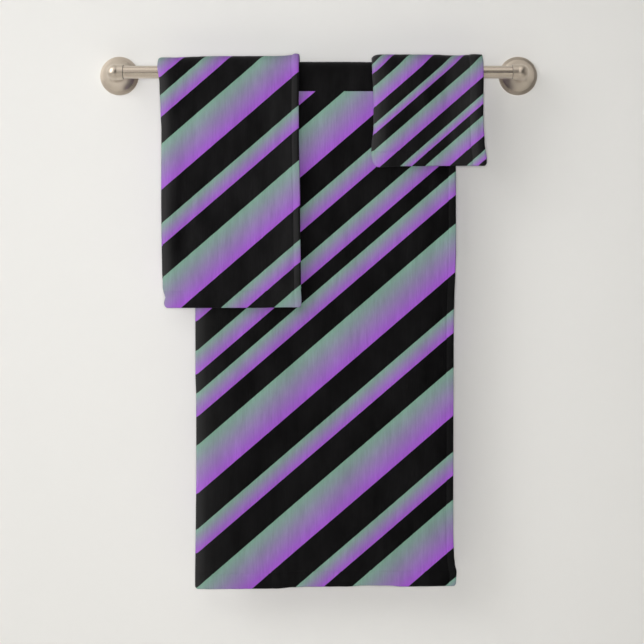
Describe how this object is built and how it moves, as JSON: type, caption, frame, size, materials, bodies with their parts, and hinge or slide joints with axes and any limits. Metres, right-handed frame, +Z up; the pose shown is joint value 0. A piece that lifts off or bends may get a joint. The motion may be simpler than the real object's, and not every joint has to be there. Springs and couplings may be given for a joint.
{
  "type": "bath towel set",
  "caption": "Striped bath towel, hand towel and washcloth, each folded lengthwise and hung over a round wall-mounted towel bar with domed posts.",
  "frame": {"origin": "on the wall, midway between the two posts, at the height of the rail's axis, at the centre of the four wall screws", "axes": "+X along the rail to the right as seen from the room, +Y into the wall, -Y into the room, +Z up"},
  "size_m": [0.6682, 0.1134, 0.7973],
  "materials": {
    "rail_nickel": "brushed nickel",
    "post_nickel": "satin nickel",
    "bush_nylon": "dark nylon",
    "bracket_steel": "zinc plated",
    "screw_steel": "zinc plated",
    "bath_towel_cloth": "printed short-pile cloth, black with graded green to violet diagonal stripes",
    "hand_towel_cloth": "printed short-pile cloth, black with graded green to violet diagonal stripes",
    "washcloth_cloth": "printed short-pile cloth, black with graded green to violet diagonal stripes",
    "thread": "black sewing thread"
  },
  "bodies": {
    "bar": {"left_escutcheon": "post_nickel", "left_post": "post_nickel", "left_post_screw": "screw_steel", "left_rail_bush": "bush_nylon", "left_set_screw": "screw_steel", "left_wall_bracket": "bracket_steel", "right_escutcheon": "post_nickel", "right_post": "post_nickel", "right_post_screw": "screw_steel", "right_rail_bush": "bush_nylon", "right_set_screw": "screw_steel", "right_wall_bracket": "bracket_steel", "wall_screws": "screw_steel"},
    "rail": {"rail": "rail_nickel"},
    "bath_towel": {"bath_towel_back": "bath_towel_cloth", "bath_towel_back_end_hem": "bath_towel_cloth", "bath_towel_back_side_hem": "bath_towel_cloth", "bath_towel_back_thread": "thread", "bath_towel_front": "bath_towel_cloth", "bath_towel_front_end_hem": "bath_towel_cloth", "bath_towel_front_side_hem": "bath_towel_cloth", "bath_towel_front_thread": "thread", "bath_towel_saddle": "bath_towel_cloth"},
    "hand_towel": {"hand_towel_back": "hand_towel_cloth", "hand_towel_back_end_hem": "hand_towel_cloth", "hand_towel_back_side_hem": "hand_towel_cloth", "hand_towel_back_thread": "thread", "hand_towel_saddle": "hand_towel_cloth"},
    "hand_towel_front": {"hand_towel_front": "hand_towel_cloth", "hand_towel_front_end_hem": "hand_towel_cloth", "hand_towel_front_side_hem": "hand_towel_cloth", "hand_towel_front_thread": "thread"},
    "washcloth": {"washcloth_back": "washcloth_cloth", "washcloth_back_end_hem": "washcloth_cloth", "washcloth_back_side_hem": "washcloth_cloth", "washcloth_back_thread": "thread", "washcloth_saddle": "washcloth_cloth"},
    "washcloth_front": {"washcloth_front": "washcloth_cloth", "washcloth_front_end_hem": "washcloth_cloth", "washcloth_front_side_hem": "washcloth_cloth", "washcloth_front_thread": "thread"}
  },
  "joints": [
    {"name": "rail_spin", "type": "hinge", "parent": "bar", "child": "rail", "pos_m": [0, -0.058, 0], "axis": [1, 0, 0], "continuous": true},
    {"name": "bath_towel_slide", "type": "slide", "parent": "bar", "child": "bath_towel", "axis": [1, 0, 0], "range_m": [-0.095, 0.07]},
    {"name": "hand_towel_slide", "type": "slide", "parent": "bar", "child": "hand_towel", "axis": [1, 0, 0], "range_m": [-0.04, 0.05]},
    {"name": "hand_towel_lift", "type": "hinge", "parent": "hand_towel", "child": "hand_towel_front", "pos_m": [0, -0.058, 0], "axis": [-1, 0, 0], "range_deg": [0, 35]},
    {"name": "washcloth_slide", "type": "slide", "parent": "bar", "child": "washcloth", "axis": [1, 0, 0], "range_m": [-0.045, 0.025]},
    {"name": "washcloth_lift", "type": "hinge", "parent": "washcloth", "child": "washcloth_front", "pos_m": [0, -0.058, 0], "axis": [-1, 0, 0], "range_deg": [0, 35]}
  ]
}
